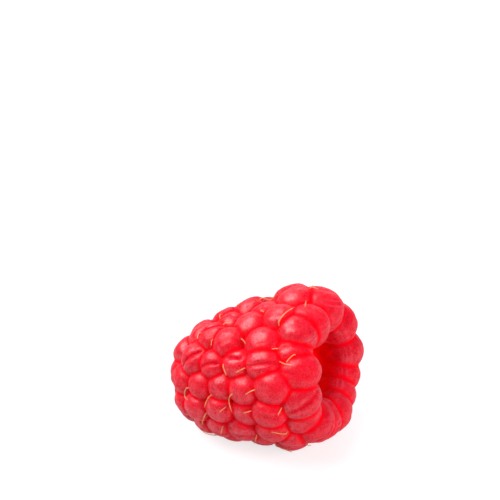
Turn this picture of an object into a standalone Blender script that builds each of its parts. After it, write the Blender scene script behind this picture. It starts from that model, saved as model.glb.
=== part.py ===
"""A picked raspberry lying on its side, as one solid, in metres with +Z up.

The fruit is a cup of flesh: rings of plump drupelets that grew together round a hollow, which the
core of the plant filled until the fruit was picked. It is modelled along +X, from its closed tip to
its open mouth, then tilted mouth up until it lies on its side, and set down on z = 0.
"""

import math
from collections import namedtuple

import bmesh
import bpy
from mathutils import Matrix, Vector

MM = 0.001

# Each ring of drupelets, from the tip to the mouth, in mm and degrees:
#   along, radius  the drupelets' middles, along the fruit's axis from its tip and out from it
#   lean           how far they point towards the tip (+) or the mouth (-), from straight out
#   length, width  their half sizes along the fruit and round it, as a share of their swelling
#   height         how far they stand out from their middles
#   laid           the drupelets set one by one: angle from the top towards -Y, shift along, and how
#                  proud the drupelet stands of its neighbours
#   rest           how many more fill the rest of the ring evenly
Ring = namedtuple("Ring", "name along radius lean length width height laid rest")
RINGS = (
    Ring(
        "tip", 2.0, 1.5, 68, 1.15, 1.15, 2.3,
        ((23, 0.0, 0.0), (143, 0.0, 0.0), (263, 0.0, 0.0)), 0,
    ),
    Ring(
        "tip_side", 2.9, 3.4, 45, 1.17, 1.17, 2.4,
        ((-14, 0.0, 0.0), (56, 0.4, 0.1), (104, -0.2, 0.0)), 4,
    ),
    Ring(
        "low", 5.2, 5.2, 27, 1.2, 1.17, 2.4,
        ((-7, 0.4, 0.0), (32, 0.1, 0.15), (65, 0.7, 0.0), (95, -0.6, -0.1), (130, -0.3, 0.1)), 5,
    ),
    Ring(
        "lower_middle", 8.2, 6.4, 20, 1.2, 1.17, 2.4,
        (
            (-25, 0.2, 0.0), (-6, 1.2, -0.1), (13, -0.4, 0.15), (44, 0.0, 0.05), (67, 0.9, 0.05),
            (90, 0.0, 0.1), (117, -1.0, -0.1),
        ),
        7,
    ),
    Ring(
        "middle", 11.9, 7.3, 17, 1.25, 1.17, 2.45,
        (
            (-4, 2.5, -0.15), (12, 1.1, 0.15), (27, -1.4, 0.2), (47, -0.2, 0.0), (70, 0.6, 0.15),
            (92, 0.2, -0.15), (113, -1.2, 0.1), (131, 0.6, 0.0),
        ),
        9,
    ),
    Ring(
        "upper", 16.0, 8.2, 10, 1.25, 1.17, 2.5,
        (
            (-15, 1.9, 0.1), (11, 1.0, -0.15), (33, -0.8, -0.25), (50, -0.5, -0.05), (69, 0.8, 0.25),
            (90, -0.4, 0.1), (109, -0.9, 0.0), (127, 0.7, -0.1),
        ),
        10,
    ),
    Ring(
        "rim", 19.3, 7.2, -25, 1.25, 1.15, 2.8,
        (
            (10, 0.8, -0.3), (25, -0.2, 0.4), (43, -0.4, -0.2), (60, 0.5, 0.15), (85, 0.0, 0.25),
            (107, -0.5, -0.15), (127, 0.2, 0.2), (150, 0.0, 0.0), (175, 0.2, 0.1), (200, 0.0, -0.1),
            (223, 0.0, 0.1), (248, 0.3, 0.0), (282, 0.2, 0.0), (314, 0.0, -0.1), (337, 0.8, 0.1),
        ),
        0,
    ),
)
STAGGER = 0.45  # how far the evenly spaced drupelets step to and fro along the fruit, in mm
REST_PROUD = (0.1, -0.05, 0.0)  # how proud they stand of their neighbours, in turn, in mm
NEIGHBOURS = 6  # a drupelet swells to half its mean distance from this many neighbours

ROOT_DEPTH = 0.85  # a drupelet's root goes this share of its height inwards
ROOT_WIDTH = 0.45
FULLNESS = 2.4  # how square a drupelet's dome is: 2 is an ellipsoid
DOME_SEGMENTS = 12
DOME_BANDS = 4

GROOVE_FLOOR = 0.6  # the flesh between the drupelets ends this far outside their middles, in mm
CORE_TIP = 1.3  # where the flesh starts at the tip, in mm along the axis
CORE_STEPS = 36
# The outline of the hollow from its mouth to its rounded end: along the axis and radius, in mm.
HOLLOW = ((20.6, 7.0), (19.6, 5.7), (16.0, 4.8), (11.5, 3.8), (8.2, 2.8), (6.6, 1.9), (6.0, 0.9))
HOLLOW_END = 5.8

SLANT = 0.2  # how far the mouth's -Y side is shorter than its +Y side, as a share of the width
SLANT_START = 1.5  # the power by which the slant grows from the tip to the mouth
TILT = math.radians(14)  # the mouth end of the axis is higher, as the fruit lies on its widest ring
FLAT_DEPTH = 0.25  # how far the soft fruit settles where it lies on a surface, in mm

FLESH_COLOUR = (0.62, 0.012, 0.03, 1.0)


def clear_scene():
    for old in list(bpy.data.objects):
        bpy.data.objects.remove(old)


def flesh_material():
    material = bpy.data.materials.new("raspberry_flesh")
    material.use_nodes = True
    shader = material.node_tree.nodes["Principled BSDF"]
    shader.inputs["Base Color"].default_value = FLESH_COLOUR
    shader.inputs["Roughness"].default_value = 0.4
    shader.inputs["Metallic"].default_value = 0.0
    return material


def finish_mesh(bm, name):
    """The object named name, made from bm with its faces pointing out."""
    bmesh.ops.remove_doubles(bm, verts=bm.verts, dist=0.001 * MM)
    bmesh.ops.recalc_face_normals(bm, faces=bm.faces)
    mesh = bpy.data.meshes.new(name)
    bm.to_mesh(mesh)
    bm.free()
    made = bpy.data.objects.new(name, mesh)
    bpy.context.scene.collection.objects.link(made)
    return made


def slanted(point):
    """Moves a point, in mm, along the fruit so that the mouth is cut slantwise."""
    share = max(point.x, 0) / RINGS[-1].along
    return point + Vector((SLANT * point.y * share**SLANT_START, 0, 0))


def core_outline():
    """The cup that the drupelets stand on: its outside follows their middles, its inside is the hollow."""
    outside = [(CORE_TIP, 0.0)]
    for ring in RINGS:
        lean = math.radians(ring.lean)
        outside.append(
            (ring.along - GROOVE_FLOOR * math.sin(lean), ring.radius + GROOVE_FLOOR * math.cos(lean))
        )
    return outside + list(HOLLOW) + [(HOLLOW_END, 0.0)]


def core(name):
    """The cup, turned about X from its outline."""
    bm = bmesh.new()
    points = [bm.verts.new((along, 0, radius)) for along, radius in core_outline()]
    edges = [bm.edges.new(pair) for pair in zip(points, points[1:])]
    bmesh.ops.spin(
        bm,
        geom=points + edges,
        cent=(0, 0, 0),
        axis=(1, 0, 0),
        angle=2 * math.pi,
        steps=CORE_STEPS,
        use_merge=True,
    )
    for vertex in bm.verts:
        vertex.co = slanted(vertex.co) * MM
    return finish_mesh(bm, name)


def ring_angles(ring):
    """Each drupelet's angle, shift and proudness: those laid one by one, then the evenly spaced ones."""
    angles = list(ring.laid)
    first = ring.laid[0][0] + 360
    last = ring.laid[-1][0]
    for number in range(ring.rest):
        angle = last + (first - last) * (number + 1) / (ring.rest + 1)
        shift = STAGGER if number % 2 else -STAGGER
        angles.append((angle, shift, REST_PROUD[number % len(REST_PROUD)]))
    return angles


def drupelet_frames():
    """Each drupelet's ring, name, middle in mm, and turn: its length, width and height directions."""
    axis = Vector((1, 0, 0))
    frames = []
    for ring in RINGS:
        lean = math.radians(ring.lean)
        for number, (angle, shift, proud) in enumerate(ring_angles(ring)):
            around = math.radians(angle)
            outwards = Vector((0, -math.sin(around), math.cos(around)))
            out = math.cos(lean) * outwards - math.sin(lean) * axis
            middle = slanted((ring.along + shift) * axis + ring.radius * outwards + proud * out)
            down = math.cos(lean) * axis + math.sin(lean) * outwards
            turn = Matrix((down, out.cross(down), out)).transposed()
            frames.append((ring, f"{ring.name}_drupelet_{number}", middle, turn))
    return frames


def drupelet_places():
    """Each drupelet's name and the matrix that carries a ball of radius 1 to its place."""
    frames = drupelet_frames()
    caps = [middle + turn.col[2] * ring.height / 2 for ring, name, middle, turn in frames]
    places = []
    for (ring, name, middle, turn), cap in zip(frames, caps):
        nearest = sorted((other - cap).length for other in caps)[1 : NEIGHBOURS + 1]
        swelling = sum(nearest) / NEIGHBOURS / 2
        size = Vector((ring.length * swelling, ring.width * swelling, ring.height)) * MM
        matrix = Matrix.Translation(middle * MM) @ turn.to_4x4() @ Matrix.Diagonal(size).to_4x4()
        places.append((name, matrix))
    return places


def dome_profile():
    """The rows of a drupelet's dome on its blunt root, as (height, radius), below its top at 1."""
    rows = [(-ROOT_DEPTH, ROOT_WIDTH)]
    for band in range(DOME_BANDS):
        angle = math.pi / 2 * band / DOME_BANDS
        height = math.sin(angle)
        radius = math.cos(angle)
        stretch = (height**FULLNESS + radius**FULLNESS) ** (-1 / FULLNESS)
        rows.append((height * stretch, radius * stretch))
    return rows


def drupelet(name, matrix):
    """One drupelet, closed all round, with its dome pointing out of the fruit."""
    bm = bmesh.new()
    rows = []
    for height, radius in dome_profile():
        row = []
        for segment in range(DOME_SEGMENTS):
            angle = 2 * math.pi * segment / DOME_SEGMENTS
            row.append(bm.verts.new((radius * math.cos(angle), radius * math.sin(angle), height)))
        rows.append(row)
    for low, high in zip(rows, rows[1:]):
        for segment in range(DOME_SEGMENTS):
            after = (segment + 1) % DOME_SEGMENTS
            bm.faces.new((low[segment], low[after], high[after], high[segment]))
    top = bm.verts.new((0, 0, 1))
    for segment in range(DOME_SEGMENTS):
        bm.faces.new((rows[-1][segment], rows[-1][(segment + 1) % DOME_SEGMENTS], top))
    bm.faces.new(reversed(rows[0]))
    bm.transform(matrix)
    return finish_mesh(bm, name)


def lay_down(pieces):
    """Tilts the pieces together and sets them on z = 0, centred over the origin."""
    tilt = Matrix.Rotation(-TILT, 4, "Y")
    for piece in pieces:
        piece.data.transform(tilt)
    points = [vertex.co for piece in pieces for vertex in piece.data.vertices]
    lowest = Vector([min(point[axis] for point in points) for axis in range(3)])
    highest = Vector([max(point[axis] for point in points) for axis in range(3)])
    middle = (lowest + highest) / 2
    settle = Matrix.Translation((-middle.x, -middle.y, -lowest.z - FLAT_DEPTH * MM))
    for piece in pieces:
        piece.data.transform(settle)


def resting_slab():
    """A slab under z = 0, which cuts the small flats that the fruit lies on."""
    bm = bmesh.new()
    bmesh.ops.create_cube(bm, size=1)
    bm.transform(Matrix.Translation((0, 0, -5 * MM)) @ Matrix.Diagonal((80 * MM, 80 * MM, 10 * MM, 1)))
    return finish_mesh(bm, "resting_slab")


def guide_collection(name, guides):
    """Collects the solids that a Boolean reads, and leaves them out of the part."""
    collection = bpy.data.collections.new(name)
    bpy.context.scene.collection.children.link(collection)
    for guide in guides:
        bpy.context.scene.collection.objects.unlink(guide)
        collection.objects.link(guide)
        guide.hide_render = True
        guide.display_type = "WIRE"
    return collection


def boolean(solid, operation, collection):
    modifier = solid.modifiers.new(collection.name, "BOOLEAN")
    modifier.operation = operation
    modifier.operand_type = "COLLECTION"
    modifier.collection = collection


def build():
    clear_scene()
    fruit = core("raspberry")
    drupelets = [drupelet(*place) for place in drupelet_places()]
    lay_down([fruit] + drupelets)
    boolean(fruit, "UNION", guide_collection("drupelets", drupelets))
    boolean(fruit, "DIFFERENCE", guide_collection("resting_surface", [resting_slab()]))
    fruit.data.shade_smooth()
    fruit.data.materials.append(flesh_material())


if __name__ == "__main__":
    build()
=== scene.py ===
"""A ripe raspberry, picked and lying on its side: its flesh, its dry styles and its fine down.

The flesh is one skin. Drupelets are set out in rings, grown on a cup with geometry nodes, joined by a
voxel remesh, and then every point of the skin is drawn onto the rounded form where they meet.
Inside the functions, lengths are in mm along the fruit's own axis, +X from its tip to its mouth.
"""

import math
from collections import namedtuple

import bmesh
import bpy
import numpy as np
from bpy.props import FloatProperty, FloatVectorProperty, IntProperty, PointerProperty
from mathutils import Matrix, Vector, noise


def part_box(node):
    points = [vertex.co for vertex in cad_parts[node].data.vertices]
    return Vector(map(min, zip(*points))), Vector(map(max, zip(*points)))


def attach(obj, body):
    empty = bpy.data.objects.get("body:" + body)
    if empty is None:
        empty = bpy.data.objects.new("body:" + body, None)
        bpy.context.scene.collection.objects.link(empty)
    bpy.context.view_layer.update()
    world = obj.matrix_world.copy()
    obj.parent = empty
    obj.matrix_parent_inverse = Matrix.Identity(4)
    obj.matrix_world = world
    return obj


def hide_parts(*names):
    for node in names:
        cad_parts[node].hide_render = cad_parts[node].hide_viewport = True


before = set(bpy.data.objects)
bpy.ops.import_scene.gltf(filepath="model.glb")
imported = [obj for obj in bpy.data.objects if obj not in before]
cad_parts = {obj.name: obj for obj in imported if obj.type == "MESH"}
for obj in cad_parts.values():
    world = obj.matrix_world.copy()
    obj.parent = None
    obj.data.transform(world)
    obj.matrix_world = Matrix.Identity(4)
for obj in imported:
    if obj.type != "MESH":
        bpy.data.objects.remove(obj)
CAD_LOW, CAD_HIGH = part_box("raspberry")

bl_info = {
    "name": "Raspberry",
    "version": (1, 0, 0),
    "blender": (4, 5, 0),
    "location": "View3D > Sidebar > Raspberry",
    "description": "Grows a picked raspberry, lying on its side",
    "category": "Add Mesh",
}

MM = 0.001

# Each ring of drupelets, from the tip to the mouth, in mm and degrees:
#   along, radius  the drupelets' middles, along the fruit's axis from its tip and out from it
#   lean           how far they point towards the tip (+) or the mouth (-), from straight out
#   length, width  their half sizes along the fruit and round it, as a share of their swelling
#   height         how far they stand out from their middles
#   laid           the drupelets set one by one: angle from the top towards -Y, shift along, how proud
#                  the drupelet stands of its neighbours, and how strong the fold along it is
#   rest           how many more fill the rest of the ring evenly
Ring = namedtuple("Ring", "along radius lean length width height laid rest")
RINGS = (
    Ring(
        2.0, 1.5, 68, 1.15, 1.15, 2.3,
        ((23, 0.0, 0.0, 0.3), (143, 0.0, 0.0, 0.2), (263, 0.0, 0.0, 0.4)), 0,
    ),
    Ring(
        2.9, 3.4, 45, 1.17, 1.17, 2.4,
        ((-14, 0.0, 0.0, 0.4), (56, 0.4, 0.1, 0.2), (104, -0.2, 0.0, 0.3)), 4,
    ),
    Ring(
        5.2, 5.2, 27, 1.2, 1.17, 2.4,
        (
            (-7, 0.4, 0.0, 0.3), (32, 0.1, 0.15, 1.0), (65, 0.7, 0.0, 0.0), (95, -0.6, -0.1, 0.2),
            (130, -0.3, 0.1, 0.4),
        ),
        5,
    ),
    Ring(
        8.2, 6.4, 20, 1.2, 1.17, 2.4,
        (
            (-25, 0.2, 0.0, 0.6), (-6, 1.2, -0.1, 0.6), (13, -0.4, 0.15, 1.0), (44, 0.0, 0.05, 1.0),
            (67, 0.9, 0.05, 0.1), (90, 0.0, 0.1, 0.0), (117, -1.0, -0.1, 0.3),
        ),
        7,
    ),
    Ring(
        11.9, 7.3, 17, 1.25, 1.17, 2.45,
        (
            (-4, 2.5, -0.15, 0.6), (12, 1.1, 0.15, 0.3), (27, -1.4, 0.2, 0.3), (47, -0.2, 0.0, 1.0),
            (70, 0.6, 0.15, 0.0), (92, 0.2, -0.15, 0.2), (113, -1.2, 0.1, 0.5), (131, 0.6, 0.0, 0.3),
        ),
        9,
    ),
    Ring(
        16.0, 8.2, 10, 1.25, 1.17, 2.5,
        (
            (-15, 1.9, 0.1, 0.2), (11, 1.0, -0.15, 0.3), (33, -0.8, -0.25, 0.1), (50, -0.5, -0.05, 0.7),
            (69, 0.8, 0.25, 0.1), (90, -0.4, 0.1, 0.3), (109, -0.9, 0.0, 0.2), (127, 0.7, -0.1, 0.4),
        ),
        10,
    ),
    Ring(
        19.3, 7.2, -25, 1.25, 1.15, 2.8,
        (
            (10, 0.8, -0.3, 0.2), (25, -0.2, 0.4, 0.1), (43, -0.4, -0.2, 0.7), (60, 0.5, 0.15, 0.3),
            (85, 0.0, 0.25, 0.8), (107, -0.5, -0.15, 0.3), (127, 0.2, 0.2, 0.5), (150, 0.0, 0.0, 0.2),
            (175, 0.2, 0.1, 0.6), (200, 0.0, -0.1, 0.3), (223, 0.0, 0.1, 0.5), (248, 0.3, 0.0, 0.1),
            (282, 0.2, 0.0, 0.4), (314, 0.0, -0.1, 0.2), (337, 0.8, 0.1, 0.5),
        ),
        0,
    ),
)
REST_PROUD = (0.1, -0.05, 0.0)  # how proud the evenly spaced drupelets stand, in turn
REST_FOLDS = (0.9, 0.1, 0.5, 0.2)  # the evenly spaced drupelets' folds, in turn
STAGGER = 0.45  # how far the evenly spaced drupelets step to and fro along the fruit
NEIGHBOURS = 6  # a drupelet swells to half its mean distance from this many neighbours
SLANT = 0.2  # how far the mouth's -Y side is shorter than its +Y side, as a share of the width
SLANT_START = 1.5  # the power by which the slant grows from the tip to the mouth
TILT = math.radians(14)  # the mouth end of the axis is higher, as the fruit lies on its widest ring
FLAT_DEPTH = 0.25  # how far the soft fruit settles on the surface
SETTLED_EDGE = 0.05  # how round the edges of the flats are that it settles on

GROOVE_FLOOR = 0.6  # the flesh between the drupelets ends this far outside their middles
CUP_TIP = 1.3  # where the flesh starts at the tip
# The outline of the hollow from its mouth to its rounded end: along the axis and radius.
HOLLOW = ((20.6, 7.0), (19.6, 5.7), (16.0, 4.8), (11.5, 3.8), (8.2, 2.8), (6.6, 1.9), (6.0, 0.9), (5.8, 0.0))
CUP_STEPS = 48
CUP_MERGE = 0.001  # points of the cup this near become one
OUTLINE_STEPS = 6  # points on each stretch of the hollow's smooth outline


# Dry styles, hair-fine remains of the flower that lie over the grooves, in mm and degrees:
#   along, around  where its root is, along the axis from the tip and round from the top towards -Y
#   heading        its way from the root, from straight to the mouth round towards more "around"
#   length, curl   how long it is, and how fast its way turns, in degrees for each mm
#   lift           how far its tip stands off the skin
Style = namedtuple("Style", "along around heading length curl lift")
STYLES = (
    Style(4.1, 66, 185, 3.2, -62, 0.3),
    Style(7.4, 72, 145, 2.1, -12, 0.1),
    Style(11.2, 70, 150, 3.4, -29, 0.2),
    Style(9.4, 83, 163, 1.0, -20, 0.2),
    Style(5.7, 94, 130, 2.4, -12, 0.2),
    Style(15.0, 68, 172, 1.5, -12, 0.2),
    Style(12.1, 28, 42, 1.5, 5, 0.2),
    Style(10.0, 46, 78, 1.5, -18, 0.2),
    Style(13.1, 52, 168, 1.0, -10, 0.3),
    Style(17.6, 22, -68, 2.9, 18, 0.7),
    Style(20.2, 46, 150, 1.5, -18, 0.2),
    Style(18.1, 50, 38, 1.7, -18, 0.3),
    Style(17.8, 40, 160, 0.8, 0, 0.3),
    Style(18.1, 84, 140, 0.8, 0, 0.3),
    Style(17.4, 109, -150, 2.5, 8, 0.3),
    Style(12.5, 113, 125, 1.6, -10, 0.2),
    Style(13.2, 86, 180, 0.8, 0, 0.3),
    Style(14.1, 3, 52, 1.5, 0, 0.2),
    Style(12.6, -24, -6, 3.2, 2, 0.1),
    Style(8.0, -14, 92, 2.2, -14, 0.1),
    Style(6.0, 8, 98, 1.6, -24, 0.2),
    Style(8.0, 22, 66, 1.1, 0, 0.2),
    Style(19.0, -17, 20, 1.3, 10, 0.2),
    Style(10.0, -22, 58, 1.3, 0, 0.2),
    Style(8.9, 6, 8, 1.4, 0, 0.2),
    Style(7.7, 107, 112, 0.9, 0, 0.2),
    Style(20.1, 6, -90, 0.9, 0, 0.2),
)
STYLE_SEED = 11
STYLE_STEPS = 24
STYLE_GUESS = 2.0  # how far outside the middles of the drupelets its root is looked for first
STYLE_HEIGHT = 0.07  # how far over the skin their middle line runs
STYLE_ROOT = 0.3  # how deep under the skin they start
STYLE_RISE = 0.22  # how long they take to come out of it
STYLE_CLEAR = 1.2  # styles that would come nearer the surface under the fruit are left out
STYLE_TAPER = 0.45  # how much thinner the tip is than the root, as a share
# The strewn styles: the stretch round the fruit that they fill, the share of its drupelets that have
# one, and the ranges of its place before and beside the drupelet, its heading, length and lift
STREWN_AROUND = (135, 330)
STREWN_SHARE = 0.6
STREWN_BEFORE = (1.6, 2.2)
STREWN_ASIDE = (-12, 12)
STREWN_HEADING = (-180, 180)
STREWN_LENGTH = (0.8, 3.2)
STREWN_LIFT = (0.0, 0.5)
STREWN_CURL = 22  # the usual curl, either way
DARK_STIGMAS = (1.8, 2.8)  # styles longer than this have a darker stigma
STIGMA_START = 0.9  # the share of a style's length where its stigma starts
PALE_STIGMA = 0.25  # a short style's stigma, as a share of the darkest

# The skin, in mm, or as a share of a drupelet's half size where it says so
CAP_LEAD = (0.12, 0.6)  # a cap starts this much nearer its drupelet's middle than the next one's
FOLD_LEAD = (0.15, 0.7)  # and its folds and pleats here
RAGGED_GROOVES = 0.12  # how unevenly the caps end at the grooves
RAGGED_WIDTH = 0.6
WALL_FADE = (1.1, 0.1)  # how far outside its wall the hollow's look ends and is whole
MOUTH_FADE = (20.6, 18.6)  # where along the fruit it ends and is whole
WALL_REACH = 0.3  # how far behind the hollow's end it goes on
FOLD_ENDS = (1.1, 0.75)  # where a fold ends and is whole, as a share along the drupelet
FOLD_WIDTH = 0.15  # half the width of its valley, as a share
FOLD_TURN, FOLD_BEND, FOLD_SHIFT = 0.2, 0.25, 0.15  # how much folds differ: radians, and shares
PLEAT_START = (0.62, 0.75)  # where pleats start and are whole, as a share out from the middle
PLEATS_AROUND = (-0.1, 0.6)  # how far towards the mouth they lie, from the middle of the drupelet
FAINTEST_PLEATS = 0.3
DIMPLED = 0.4  # the share of the drupelets that have a dimple
DIMPLE_PLACE = (-0.2, 0.1)  # where it is along and across the fold, as a share
DIMPLE_SPREAD = 0.03
DIMPLE_DEPTH = 0.08
LUMPS = ((0.07, 2.0), (0.025, 0.7))  # how high and how wide the skin's lumps are
GROOVE_LUMPS = 0.3  # how high they are in the grooves, as a share
WALL_GROOVE_WIDTH = 0.7
LEAST_FROST = 0.6  # the least frosted drupelet's bloom, as a share of the most frosted
DOWN_CLEAR = (0.2, 0.5)  # the down starts this high above the surface under the fruit

# The finest relief, drawn by the material: shares of a drupelet's half size
LINE_BAND = (0.06, 0.0)  # how near a fold's bottom its dark line is
BARE_BAND = (0.17, 0.05)  # how near it the bloom is worn off
LINE_WOBBLE = 0.16
WOBBLE_SCALE = 1100.0  # the wobble's waves in a metre
PLEAT_WAVES = 50.0  # how close together the pleats are, in radians
PLEAT_WOBBLE = 0.3
PLEAT_RELIEF = 0.5  # their height, as a share of the line's depth
GRAIN_RELIEF = 0.5
RELIEF_DEPTH = 0.08 * MM

# Mottles: the sizes of their specks and patches, and how strong the patches are
GRAIN_MOTTLE = (0.16 * MM, 0.5 * MM, 0.3)
BLOOM_MOTTLE = (0.14 * MM, 0.8 * MM, 0.4)
PORE_MOTTLE = (0.24 * MM, 1.2 * MM, 0.2)
DOWN_MOTTLE = (0.5 * MM, 2 * MM, 0.5)
STYLE_MOTTLE = (0.3 * MM, 1.2 * MM, 0.5)
FLOOR_MOTTLE = (4 * MM, 30 * MM, 0.6)
MOTTLE_RANGE = (0.36, 0.64)  # the noise's usual range, which is spread from 0 to 1

# How strongly each colour is laid over the one before, and what the bloom does to the gloss
DRUPELET_TINT = 0.35
SPECK_TINT = 0.6
PORE_BAND = (0.22, 0.04)
PORE_SHARE = 0.55
BLOOM_SHARE = 0.025
# painted highlight: the pale bloom colour is laid on the crests of the pleats, where they catch the light
PLEAT_HIGHLIGHT = 0.14
LINE_SHARE = 0.8
FLESH_ROUGHNESS = (0.6, 0.45)
BLOOM_GLOSS = (0.1, 1.0)
FLESH_FINISH = {
    "Subsurface Weight": 0.6,
    "Subsurface Radius": (1.0, 0.08, 0.06),
    "Subsurface Scale": 1.5 * MM,
    "IOR": 1.45,
    "Specular IOR Level": 0.05,
    "Sheen Weight": 0.2,
    "Sheen Roughness": 0.3,
    "Sheen Tint": (1.0, 0.35, 0.45, 1.0),
    "Coat Roughness": 0.34,
    "Coat IOR": 2.0,
}
STYLE_FINISH = {
    "Roughness": 0.55,
    "Subsurface Weight": 0.3,
    "Subsurface Radius": (1.0, 0.6, 0.3),
    "Subsurface Scale": 0.2 * MM,
}
DOWN_FINISH = {"Roughness": 0.6}
FLOOR_FINISH = {"Roughness": 0.5, "Emission Strength": 1.0}
HAIR_GROWTH = (0.5, 1.3)  # the shortest and longest hair, as a share of the usual one

# The stage, in metres. Each softbox stands at its distance from the fruit, towards the view's right,
# away from the view and up by these shares. One that doesn't shine lights the flesh with no highlight.
Softbox = namedtuple("Softbox", "name right away up distance width height shines")
SOFTBOXES = (
    Softbox("key_softbox", -0.7, 0.12, 1.0, 0.35, 0.42, 0.38, True),
    Softbox("back_softbox", 0.0, 1.0, 0.45, 0.4, 0.5, 0.3, True),
    Softbox("fill_softbox", 0.7, -0.6, 0.4, 0.4, 0.3, 0.3, False),
)
SOFTBOX_COLOUR = (1.0, 0.94, 1.0)
ROOM_WHITE = 1.2  # how bright the room is where the view sees it
FLOOR_REACH = 0.6
FLOOR_COLOURS = ((0.38,) * 3, (0.4,) * 3)

TINY = 1e-9  # keeps a division from being by nothing
TINIEST = 1e-12  # the same for a squared length, and for the length of a way out
NEAR_MIDDLE = 1e-6  # the same at the middle of a drupelet
FAR = 99.0
STEEPEST = 60  # keeps exp() in its range
LONGEST_STEP = 0.3  # how far a point is drawn at once
NOISE_SHIFT = Vector((13.1, 7.7, 3.3))


# ---- where the drupelets are

Drupelets = namedtuple("Drupelets", "middles turns sizes rings folds")


def slanted(points):
    """Moves points along the fruit so that the mouth is cut slantwise."""
    share = np.maximum(points[:, 0], 0) / RINGS[-1].along
    moved = points.copy()
    moved[:, 0] += SLANT * points[:, 1] * share**SLANT_START
    return moved


def unslanted(points):
    """Undoes slanted(), by a few steps towards the point that it would carry here."""
    straight = points.copy()
    for _ in range(4):
        share = np.maximum(straight[:, 0], 0) / RINGS[-1].along
        straight[:, 0] = points[:, 0] - SLANT * points[:, 1] * share**SLANT_START
    return straight


def ring_angles(ring):
    """Each drupelet's angle, shift, proudness and fold: first those laid, then the evenly spaced ones."""
    angles = list(ring.laid)
    first = ring.laid[0][0] + 360
    last = ring.laid[-1][0]
    for number in range(ring.rest):
        angle = last + (first - last) * (number + 1) / (ring.rest + 1)
        shift = STAGGER if number % 2 else -STAGGER
        proud = REST_PROUD[number % len(REST_PROUD)]
        angles.append((angle, shift, proud, REST_FOLDS[number % len(REST_FOLDS)]))
    return angles


def drupelet_layout():
    """Every drupelet's middle, its length, width and height directions as columns, and half sizes."""
    middles, turns, shapes, rings, folds = [], [], [], [], []
    axis = np.array((1.0, 0.0, 0.0))
    for index, ring in enumerate(RINGS):
        lean = math.radians(ring.lean)
        for angle, shift, proud, fold in ring_angles(ring):
            around = math.radians(angle)
            outwards = np.array((0.0, -math.sin(around), math.cos(around)))
            out = math.cos(lean) * outwards - math.sin(lean) * axis
            down = math.cos(lean) * axis + math.sin(lean) * outwards
            middles.append((ring.along + shift) * axis + ring.radius * outwards + proud * out)
            turns.append(np.stack((down, np.cross(out, down), out), axis=1))
            shapes.append((ring.length, ring.width, ring.height))
            rings.append(index)
            folds.append(fold)
    middles = slanted(np.array(middles))
    turns = np.array(turns)
    shapes = np.array(shapes)
    caps = middles + turns[:, :, 2] * shapes[:, 2:] / 2
    apart = np.linalg.norm(caps[:, None] - caps[None], axis=2)
    swelling = np.sort(apart, axis=1)[:, 1 : NEIGHBOURS + 1].mean(axis=1) / 2
    sizes = shapes * np.stack((swelling, swelling, np.ones_like(swelling)), axis=1)
    return Drupelets(middles, turns, sizes, np.array(rings), np.array(folds))


def smooth_outline(points, steps):
    """A smooth line through the points, with that many steps on each stretch."""
    points = np.array(points, float)
    ends = np.concatenate(([2 * points[0] - points[1]], points, [2 * points[-1] - points[-2]]))
    made = []
    for before, start, stop, after in zip(ends, ends[1:], ends[2:], ends[3:]):
        for step in range(steps):
            t = step / steps
            made.append(
                0.5
                * (
                    2 * start
                    + (stop - before) * t
                    + (2 * before - 5 * start + 4 * stop - after) * t**2
                    + (3 * start - before - 3 * stop + after) * t**3
                )
            )
    made.append(points[-1])
    return np.array(made)


def cup_outline():
    """The cup under the drupelets: its outside follows their middles, its inside is the hollow."""
    outside = [(CUP_TIP, 0.0)]
    for ring in RINGS:
        lean = math.radians(ring.lean)
        along = ring.along - GROOVE_FLOOR * math.sin(lean)
        outside.append((along, ring.radius + GROOVE_FLOOR * math.cos(lean)))
    inside = smooth_outline(HOLLOW, OUTLINE_STEPS)
    inside[:, 1] = np.maximum(inside[:, 1], 0)
    return np.concatenate((np.array(outside), inside))


# ---- the form of the skin


def drupelet_depths(points, drupelets, squareness, reach=1.9):
    """For each drupelet: which points are near it, how far outside it they are, and which way is out."""
    for middle, turn, size in zip(drupelets.middles, drupelets.turns, drupelets.sizes):
        near = np.nonzero(np.sum((points - middle) ** 2, axis=1) < (reach * size.max()) ** 2)[0]
        local = (points[near] - middle) @ turn / size
        flat = np.hypot(local[:, 0], local[:, 1]) + TINY
        tall = np.abs(local[:, 2]) + TINY
        swell = (flat**squareness + tall**squareness) ** (1 / squareness)
        across = (flat / swell) ** (squareness - 1)
        upwards = (tall / swell) ** (squareness - 1) * np.sign(local[:, 2])
        slope = np.stack((across * local[:, 0] / flat, across * local[:, 1] / flat, upwards), axis=1)
        slope = (slope / size) @ turn.T
        steepness = np.linalg.norm(slope, axis=1)
        yield near, (swell - 1) / steepness, slope / steepness[:, None]


def cup_depth(points, outline):
    """How far outside the cup the points are, and which way is out."""
    straight = unslanted(points)
    across = np.hypot(straight[:, 1], straight[:, 2]) + TINY
    flat = np.stack((straight[:, 0], across), axis=1)
    starts, ends = outline[:-1], outline[1:]
    runs = ends - starts
    nearest = np.full(len(points), np.inf)
    offset = np.zeros((len(points), 2))
    inside = np.zeros(len(points), bool)
    for start, run in zip(starts, runs):
        share = np.clip((flat - start) @ run / (run @ run + TINIEST), 0, 1)
        gap = flat - start - share[:, None] * run
        length = np.linalg.norm(gap, axis=1)
        closer = length < nearest
        nearest[closer] = length[closer]
        offset[closer] = gap[closer]
        crosses = (flat[:, 1] >= min(start[1], start[1] + run[1])) & (
            flat[:, 1] < max(start[1], start[1] + run[1])
        )
        if abs(run[1]) > TINIEST:
            crossing = start[0] + (flat[:, 1] - start[1]) / run[1] * run[0]
            inside ^= crosses & (crossing > flat[:, 0])
    sign = np.where(inside, -1.0, 1.0)
    direction = sign[:, None] * offset / (nearest[:, None] + TINY)
    out = np.stack(
        (
            direction[:, 0],
            direction[:, 1] * straight[:, 1] / across,
            direction[:, 1] * straight[:, 2] / across,
        ),
        axis=1,
    )
    return sign * nearest, out


Form = namedtuple("Form", "depth out nearest lead cup")


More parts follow.
